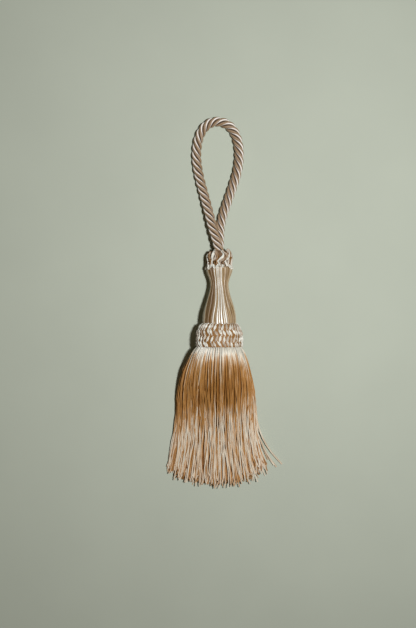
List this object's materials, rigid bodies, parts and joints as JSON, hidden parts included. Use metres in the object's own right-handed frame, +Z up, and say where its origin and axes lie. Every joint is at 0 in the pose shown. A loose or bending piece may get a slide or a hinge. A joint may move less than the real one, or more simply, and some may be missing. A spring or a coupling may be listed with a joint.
{
  "type": "key tassel",
  "caption": "Silky key tassel lying flat: laid cord loop, gathered crown, threaded baluster head, stitched collar and a full skirt of loose threads.",
  "frame": {"origin": "on the surface the tassel lies on, under the middle of the collar", "axes": "+Y along the tassel towards the loop, +Z up out of the surface, +X to the right seen from above with the loop at the top"},
  "size_m": [0.0675, 0.2104, 0.0264],
  "materials": {
    "cord": "lustrous laid cord",
    "gimp": "lustrous gimp stitches",
    "satin": "satin threads",
    "thread": "lustrous loose threads"
  },
  "bodies": {
    "root": {"loop_cord": "cord", "crown": "gimp", "head": "satin", "collar": "gimp", "skirt": "thread"}
  },
  "joints": []
}
